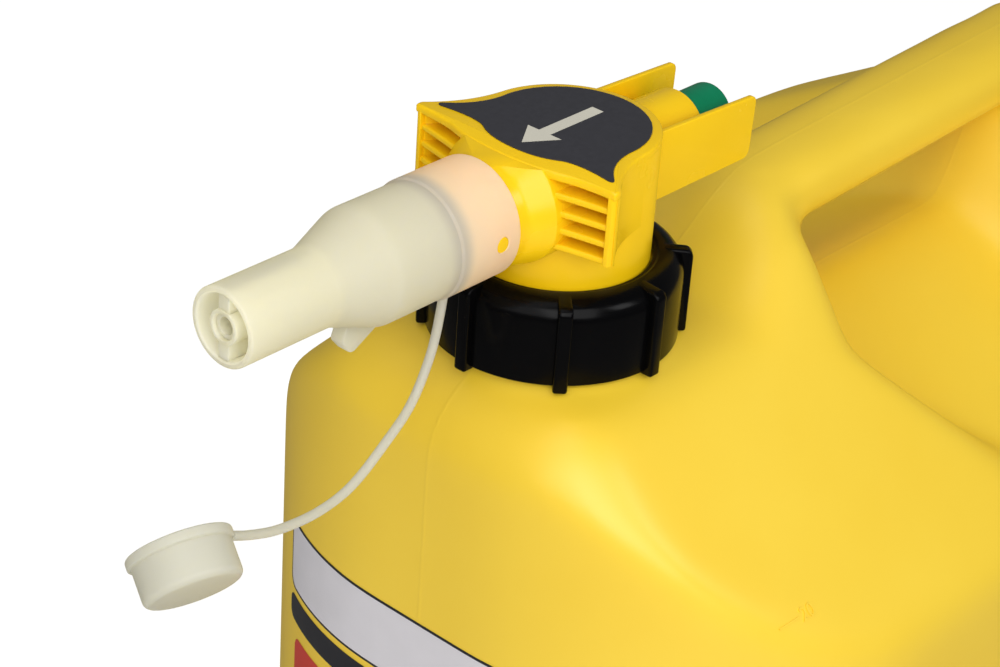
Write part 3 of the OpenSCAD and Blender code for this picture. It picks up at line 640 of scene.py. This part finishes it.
def top_outline():
    """Outline of the housing's top: a bow between the wings in front, and the drum's half circle behind."""
    wing = bend((WING_X - 0.4, -WING_Y + 1.2), (DRUM_R * 1.05, -WING_Y * 0.5),
                (DRUM_R * math.cos(0.07), DRUM_R * math.sin(0.07)), 10)
    half = bend((0, -WING_Y - 7), (WING_X * 0.33, -WING_Y - 6.8), (WING_X * 0.56, -WING_Y - 3.6), 10)
    half += bend((WING_X * 0.6, -WING_Y - 3.1), (WING_X * 0.78, -WING_Y - 1.7),
                 (WING_X - 0.6, -WING_Y - 1.6), 8)
    half += bend((WING_X - 0.2, -WING_Y - 1.2), (WING_X, -WING_Y), (WING_X - 0.2, -WING_Y + 0.6), 3) + wing
    half += [(DRUM_R * math.cos(math.radians(4 + 4.3 * i)), DRUM_R * math.sin(math.radians(4 + 4.3 * i)))
             for i in range(1, 21)]
    return half + [(-x, y) for x, y in reversed(half[1:])]


bm = bmesh.new()
lathe(bm, rounded([
    (0, DRUM_TOP - 1.2, 0), (DRUM_R - 0.05, DRUM_TOP - 1.2, 0.1), (DRUM_R - 0.05, FLANGE_LOW + 3.8, 0.6),
    (FLANGE_R, FLANGE_LOW + 3, 0.4), (FLANGE_R, FLANGE_LOW, 0.3), (CHAMBER_R, FLANGE_LOW, 0.3),
    (CHAMBER_R, DRUM_TOP - 3.2, 1.0), (0, DRUM_TOP - 3.2, 0)]), upright)
slab(bm, top_outline(), DRUM_TOP - 2.8, DRUM_TOP, upright, 0.8)
# Each wing is a rear wall, a post at its front edge and the slats between them.
rear = bend((WING_X - 0.45, -WING_Y + 1.2), (DRUM_R * 1.05 - 0.05, -WING_Y * 0.5),
            (DRUM_R - 0.15, 0.14 * WING_Y), 10)
inner = bend((DRUM_R - 4, 3), (DRUM_R - 1.4, -WING_Y * 0.5), (WING_X - 3.4, -WING_Y), 8)
slat = [(DRUM_R - 5, 0)]
slat += bend((18.0, -WING_Y - 5.2), (WING_X * 0.7, -WING_Y - 2.8), (WING_X - 2, -WING_Y - 1), 8)
slat += [(WING_X - 2, -WING_Y + 0.6)]
post = [(WING_X - 3, -WING_Y + 1), (WING_X - 2.6, -WING_Y - 1.8), (WING_X - 1, -WING_Y - 1.4),
        (WING_X - 0.4, -WING_Y)]
fin = rounded([(14.2, 39.5, 0), (70.5, 39.5, 3.2), (71.3, 60.5, 2.4), (14.2, 63.1, 0)])
for side in (1, -1):
    flip = upright @ Matrix.Diagonal((side, 1, 1, 1))
    slab(bm, [(WING_X - 0.4, -WING_Y)] + rear + inner, WING_LOW, DRUM_TOP - 1.25, flip, 0.1)
    slab(bm, post, WING_LOW, DRUM_TOP - 1.25, flip, 0.3, 0.4)
    for i in range(SLATS):
        low = WING_LOW + SLAT_PITCH * i
        slab(bm, slat, low, low + SLAT_H, flip, 0.7)
    slab(bm, fin, 15.0, 17.0, flip @ sideways, 0.5)
lathe(bm, rounded([
    (SPIGOT_BORE, 24.0, 0), (SPIGOT_BORE, SPIGOT_END, 0.4), (SPIGOT_R, SPIGOT_END, 0.5),
    (SPIGOT_R, 24.0, 0)]), forward)
flare = bmesh.new()
lathe(flare, rounded([
    (14.0, FLARE_END, 0), (16.5, FLARE_END, 0.3), (17.2, 34.6, 5.0), (FLARE_R, 28.0, 0.7), (FLARE_R, 20.0, 0),
    (14.0, 20.0, 0)]), forward)
# The lower half is drawn in towards the drum, like a shield.
for v in flare.verts:
    out = v.co - spot(0, 0, AXIS_Z)
    if out.z < 0:
        reach = Vector((out.x, 0, out.z)).length * 1000
        v.co.z -= out.z * 0.2 * ease((reach - FLARE_FOOT) / (FLARE_R - FLARE_FOOT))
cut = bmesh.ops.bisect_plane(flare, geom=flare.verts[:] + flare.edges[:] + flare.faces[:], clear_outer=True,
                             plane_co=spot(0, 0, DRUM_TOP - 0.3), plane_no=(0, 0, 1))["geom_cut"]
bmesh.ops.holes_fill(flare, edges=[e for e in cut if isinstance(e, bmesh.types.BMEdge)], sides=0)
flare_mesh = bpy.data.meshes.new("flare")
flare.to_mesh(flare_mesh)
flare.free()
bm.from_mesh(flare_mesh)
lathe(bm, rounded([
    (GUIDE_BORE, -30.0, 0), (GUIDE_BORE, -GUIDE_END, 0.4), (GUIDE_R, -GUIDE_END, 0.7), (GUIDE_R, -20.0, 0),
    (GUIDE_BORE, -20.0, 0)]), forward)
for side in (1, -1):
    nub = Matrix.Translation(spot(0, SNAP_Y, AXIS_Z)) @ Matrix.Rotation(math.radians(90 * side), 4, "Y")
    lathe(bm, rounded([(0, 15.0, 0), (SNAP_R, 15.0, 0), (SNAP_R, 18.2, 0.3), (0, 18.2, 0)]), nub, 32)

# Yellow polypropylene from a polished tool: cleaner and glossier than the can.
yellow_pp, tree = new_material("yellow_polypropylene")
coords = add(tree, "ShaderNodeTexCoord")
# Flow marks about 22 mm wide, and a peel of about 1.1 mm.
flow = noise(tree, coords, 45.0, 3.0)
peel = bump(tree, noise(tree, coords, 900.0, 2.0), 0.04, 0.0003)
cover(tree, {
    "Base Color": shades(tree, flow, "F9C80A", "FCD016"), "Roughness": between(tree, flow, 0.2, 0.32),
    "Normal": peel, "IOR": 1.49, "Specular IOR Level": 0.4})
housing = make_piece("spout_body", bm, yellow_pp, 40)
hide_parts("spout_housing")
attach(housing, "spout")

# Decal on the housing's top: a die-cut sheet of printed vinyl, charcoal with a fine pale line round its edge
# and a plain arrow towards the nozzle. It is stuck down with a small margin of yellow left all round.
vinyl, tree = new_material("printed_charcoal_vinyl")
coords = add(tree, "ShaderNodeTexCoord")
# Grain of about 1.4 mm.
grain = noise(tree, coords, 700.0, 3.0)
cover(tree, {
    "Base Color": shades(tree, grain, "2C2C31", "3A3A40"), "Roughness": between(tree, grain, 0.38, 0.52),
    "IOR": 1.53})
DECAL_R, DECAL_REAR = 25.0, 25.6
half = bend((0, -24.2), (9, -24.2), (14.5, -20.6), 8) + bend((15.5, -20.0), (20.5, -17.6), (32.2, -19.6), 8)
half += bend((33.2, -19.6), (34.4, -19.2), (33.6, -18.2), 3) + bend((32.6, -17.2), (24.6, -9.4), (24.9, 1.6), 8)
half += [(DECAL_R * math.cos(math.radians(8 + 8.2 * i)), DECAL_REAR * math.sin(math.radians(8 + 8.2 * i)))
         for i in range(11)]
bm = bmesh.new()
sheet = bm.faces.new([bm.verts.new(upright @ Vector((x / 1000, y / 1000, (DRUM_TOP + 0.1) / 1000)))
                      for x, y in half + [(-x, y) for x, y in reversed(half[1:-1])]])
sheet.normal_update()
if sheet.normal.z < 0:
    sheet.normal_flip()
bmesh.ops.inset_region(bm, faces=[sheet], thickness=0.0007)
for f in bmesh.ops.inset_region(bm, faces=[sheet], thickness=0.0003)["faces"]:
    f.material_index = 1
pull_out(bm, bm.faces[:], (0, 0, 0.0003))
bmesh.ops.recalc_face_normals(bm, faces=bm.faces)
arrow = [(-2.2, 14), (-2.2, -10), (-6.5, -10), (0, -20), (6.5, -10), (2.2, -10), (2.2, 14)]
before = set(bm.faces)
slab(bm, arrow, DRUM_TOP + 0.35, DRUM_TOP + 0.44, upright, 0)
for f in bm.faces:
    if f not in before:
        f.material_index = 1
decal = make_piece("top_decal", bm, vinyl)
decal.data.materials.append(ink("pale_screen_ink", "D8D4C4"))
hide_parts("spout_label")
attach(decal, "spout")

# Push button and valve: a green acetal button on a bright steel stem, with a milky poppet at the far end.
# They slide together along the nozzle's axis, through a steel washer that stays in the guide.
BUTTON_R, BUTTON_BORE, BUTTON_FRONT, BUTTON_WALL, BUTTON_END = 9.0, 7.5, 46.0, 66.0, 70.5
bm = bmesh.new()
lathe(bm, rounded([
    (0, -BUTTON_END, 0), (BUTTON_R, -BUTTON_END, 1.3), (BUTTON_R, -BUTTON_FRONT, 0.4),
    (BUTTON_BORE, -BUTTON_FRONT, 0.4), (BUTTON_BORE, -BUTTON_WALL, 0.8), (0, -BUTTON_WALL, 0)]), forward, 96)
green_pom, tree = new_material("green_acetal")
coords = add(tree, "ShaderNodeTexCoord")
# Flow marks about 7 mm wide.
flow = noise(tree, coords, 140.0, 3.0)
cover(tree, {
    "Base Color": shades(tree, flow, "04764F", "06865C"), "Roughness": between(tree, flow, 0.24, 0.36),
    "IOR": 1.48, "Specular IOR Level": 0.3})
button = make_piece("green_button", bm, green_pom)
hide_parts("push_button")
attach(button, "button")

steel, tree = new_material("drawn_steel")
coords = add(tree, "ShaderNodeTexCoord")
# Drawing marks run along the stem, a fifth of a millimetre apart.
across = add(tree, "ShaderNodeMapping", {"Vector": coords.outputs["Object"], "Scale": (5000.0, 60.0, 5000.0)})
drawn = add(tree, "ShaderNodeTexNoise", {"Vector": across.outputs[0], "Scale": 1.0, "Detail": 2.0})
cover(tree, {
    "Base Color": tone("C4C6C8"), "Metallic": 1.0, "Roughness": between(tree, drawn.outputs["Fac"], 0.22, 0.42)})
for name in ("valve_stem", "spring_washer"):
    dress(name, steel)

# Return spring: eight coils of drawn steel wire between the washer and the button's end wall, close at both
# ends. It sits on the washer; the real one shortens as the button goes in, and here it is drawn at rest.
SPRING_SEAT, SPRING_TOP, COIL_R, WIRE_R, COILS, STROKE = 31.3, BUTTON_WALL, 5.9, 0.6, 8, 9.0


def coil_point(around, along):
    """Point on the wire, at a share of the way round it and along it."""
    turn, wind, across = COILS * along, 2 * math.pi * COILS * along, 2 * math.pi * around
    end_pitch = 3 * WIRE_R
    open_pitch = (SPRING_TOP - SPRING_SEAT - 2 * WIRE_R - 0.2 - 2 * end_pitch) / (COILS - 2)
    rise = end_pitch * (min(turn, 1.0) + max(0.0, turn - COILS + 1))
    rise += open_pitch * min(max(turn - 1.0, 0.0), COILS - 2)
    reach = COIL_R + WIRE_R * math.cos(across)
    return spot(reach * math.cos(wind), SPRING_SEAT + WIRE_R + 0.1 + rise + WIRE_R * math.sin(across),
                AXIS_Z + reach * math.sin(wind))


spring = make_piece("coil_spring", loft(coil_point, 10, 240), steel)
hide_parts("return_spring")
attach(spring, "spout")
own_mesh(spring)

# Nozzle: a milky polyethylene moulding pushed over the spigot and held by the two nubs. A cone leads to the
# slim tip, webs inside it carry the air tube, and a small hook under the cone hangs on a filler's rim.
SLEEVE_R, SLEEVE_BORE, SLEEVE_Y, STEP_Y, SEAT_Y = 18.35, 16.4, 39.0, 62.2, 58.3
BODY_R, TIP_R, TIP_WALL, CONE_Y, CONE_END, TIP_END = 17.75, 11.8, 2.0, 86.0, 103.0, 136.6
HOLDER_R, HOLDER_BORE, HOLDER_Y, HOLDER_END = 5.2, 3.9, 110.6, 136.2
bm = bmesh.new()
lathe(bm, rounded([
    (SLEEVE_BORE, SLEEVE_Y, 0.3), (SLEEVE_R, SLEEVE_Y, 0.7), (SLEEVE_R, STEP_Y, 0.5), (BODY_R, STEP_Y + 0.8, 0.4),
    (BODY_R, CONE_Y, 9.0), (TIP_R, CONE_END, 9.0), (TIP_R, TIP_END, 0.8), (TIP_R - TIP_WALL, TIP_END, 0.7),
    (TIP_R - TIP_WALL, CONE_END + 0.8, 8.0), (BODY_R - TIP_WALL, CONE_Y + 0.8, 8.0),
    (BODY_R - TIP_WALL, SEAT_Y, 0), (SLEEVE_BORE, SEAT_Y, 0)]), forward, 144)
side_on = upright @ sideways
slab(bm, [(-91, 36.3), (-93.8, 29.3), (-90.3, 25), (-88.6, 25), (-72.5, 33.8)], -2.5, 2.5, side_on, 0.6, 1.0)
lathe(bm, rounded([
    (HOLDER_BORE, HOLDER_Y, 0), (HOLDER_R, HOLDER_Y, 0.4), (HOLDER_R, HOLDER_END, 0.4),
    (HOLDER_BORE, HOLDER_END, 0.3)]), forward, 64)
web_end = HOLDER_END - 0.3
for low, high in ((39.4, 46.0), (54.0, 60.6)):
    slab(bm, [(-web_end, low), (-HOLDER_Y, low), (-HOLDER_Y, high), (-web_end, high)], -2.1, 2.1, side_on, 0.3)
# Boss under the sleeve, in which the cap's strap starts.
strap_boss = Matrix.Translation(spot(0, -50, 0))
lathe(bm, rounded([(0, 29.7, 0), (2.4, 29.7, 0.4), (2.4, 33.0, 0), (0, 33.0, 0)]), strap_boss, 48)


# Light sinks into milky polyethylene and comes through it, so edges stay soft. The tip's brightness inside is
# painted light, a lighter copy of the material.
def milky(name, plain, step, warm, through_share):
    """Milky polyethylene in a plain colour, painted shade in a darker one at the sleeve's step, and a warm one
    over the yellow spigot.
    """
    material, tree = new_material(name)
    coords = add(tree, "ShaderNodeTexCoord")
    apart = add(tree, "ShaderNodeSeparateXYZ", {"Vector": coords.outputs["Object"]})
    over_spigot = add(tree, "ShaderNodeMapRange", {
        "Value": apart.outputs["Y"], "From Min": spot(0, -68, 0).y, "From Max": spot(0, -54, 0).y})
    milk_and_painted_shade = add(tree, "ShaderNodeValToRGB", {"Fac": over_spigot.outputs[0]})
    milk_and_painted_shade.color_ramp.interpolation = "EASE"
    milk_and_painted_shade.color_ramp.elements[0].color = tone(plain)
    milk_and_painted_shade.color_ramp.elements[1].color = tone(warm)
    milk_and_painted_shade.color_ramp.elements[1].position = 0.8
    # The colour at the sleeve's step is painted shade: a grey band where the step would shade the sleeve.
    milk_and_painted_shade.color_ramp.elements.new(0.4).color = tone(step)
    # Clouds about 17 mm wide, and a fine peel of about 1.2 mm. Light spreads about 5 mm in the wall.
    dull = between(tree, noise(tree, coords, 60.0, 2.0), 0.32, 0.44)
    peel = bump(tree, noise(tree, coords, 800.0, 2.0), 0.04, 0.0003)
    face = add(tree, "ShaderNodeBsdfPrincipled", {
        "Base Color": milk_and_painted_shade.outputs["Color"], "Roughness": dull, "Normal": peel, "IOR": 1.51,
        "Specular IOR Level": 0.4, "Subsurface Weight": 0.6, "Subsurface Radius": (0.005, 0.0047, 0.0036),
        "Subsurface Scale": 1.0})
    through = add(tree, "ShaderNodeBsdfTranslucent", {"Color": milk_and_painted_shade.outputs["Color"]})
    both = add(tree, "ShaderNodeMixShader", {0: through_share, 1: face.outputs[0], 2: through.outputs[0]})
    add(tree, "ShaderNodeOutputMaterial", {"Surface": both.outputs[0]})
    return material


# DCD8CE is the painted shade at the sleeve's step.
ldpe = milky("milky_polyethylene", "F0EDDC", "DCD8CE", "FFF3DA", 0.55)
plain_nozzle = make_piece("plain_nozzle", bm, None)
snap_place = Matrix.Translation(spot(0, SNAP_Y, AXIS_Z)) @ Matrix.Rotation(math.radians(90), 4, "Y")
holes = make_piece("holes", rod(SNAP_R + 0.2, 50.0, snap_place, 48), None)
bm = bmesh.new()
bm.from_mesh(with_modifier(
    plain_nozzle, "BOOLEAN", operation="DIFFERENCE", solver="EXACT", use_self=True, object=holes))
for scrap in (plain_nozzle, holes):
    bpy.data.objects.remove(scrap)
# The walls inside the tip get a nearly white colour: painted light, for the light that reaches them from all
# round.
for f in bm.faces:
    out = f.calc_center_median() - spot(0, 0, AXIS_Z)
    if -out.y > 0.100 and Vector((out.x, 0, out.z)).length < 0.0104:
        f.material_index = 1
nozzle = make_piece("pouring_nozzle", bm, ldpe)
painted_bright_ldpe = milky("milky_polyethylene_painted_bright_inside", "FFFCE6", "FFFCE6", "FFFCE6", 0.4)
nozzle.data.materials.append(painted_bright_ldpe)
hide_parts("nozzle")
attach(nozzle, "spout")
# The air tube gets the same painted light.
dress("vent_tube", painted_bright_ldpe)
dress("valve_poppet", ldpe)

# Dust cap: a milky polyethylene cup with a bead round its mouth, moulded in one piece with its strap.
# It hangs below the tip, with its closed end turned down to the right.
CAP_R, CAP_BORE, CAP_L, BEAD_R = 14.0, 12.1, 14.0, 15.0
bm = bmesh.new()
cap_turn = Matrix.Rotation(math.radians(-17), 4, "Z") @ Matrix.Rotation(math.radians(129), 4, "Y")
cap_place = Matrix.Translation(spot(8, -159, -4)) @ cap_turn
lathe(bm, rounded([
    (0, CAP_L - 2, 0), (CAP_BORE, CAP_L - 2, 0.8), (CAP_BORE, 0, 0.5), (BEAD_R, 0, 0.9), (BEAD_R, 2.9, 0.5),
    (CAP_R, 3.2, 0.3), (CAP_R, CAP_L, 2.0), (0, CAP_L, 0)]), cap_place, 112)
cap_ldpe = milky("milky_polyethylene_cap", "E2E0D2", "E2E0D2", "E2E0D2", 0.42)
cap = make_piece("milky_cap", bm, cap_ldpe)
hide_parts("dust_cap")
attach(cap, "spout")

# Strap: a round milky polyethylene string from the boss under the sleeve to the cap.
# It keeps the sagging bend in which it was moulded.
route = [(0, -50, 31), (0, -50.5, 25), (1, -55, 11), (2.5, -64, -2), (5, -77, -9), (7.5, -93, -15.5),
         (10, -109, -16), (12.5, -126, -12.5), (15, -139, -7), (16, -147, -3)]
points = []
for i in range(len(route) - 1):
    a, b, c, d = (Vector(route[max(0, min(len(route) - 1, i + k))]) for k in (-1, 0, 1, 2))
    for u in (0, 1 / 3, 2 / 3):
        points.append(0.5 * (2 * b + (c - a) * u + (2 * a - 5 * b + 4 * c - d) * u * u
                             + (3 * b - a - 3 * c + d) * u ** 3))
points.append(Vector(route[-1]))
strap_curve = bpy.data.curves.new("cap_strap", "CURVE")
strap_curve.dimensions = "3D"
strap_curve.bevel_depth = 0.0014
strap_curve.bevel_resolution = 5
strap_curve.use_fill_caps = True
line = strap_curve.splines.new("BEZIER")
line.bezier_points.add(len(points) - 1)
for knot, point in zip(line.bezier_points, points):
    knot.co = spot(*point)
    knot.handle_left_type = knot.handle_right_type = "AUTO"
line.resolution_u = 4
strap_curve.materials.append(cap_ldpe)
strap = bpy.data.objects.new("cap_strap", strap_curve)
scene.collection.objects.link(strap)
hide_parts("tether")
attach(strap, "spout")
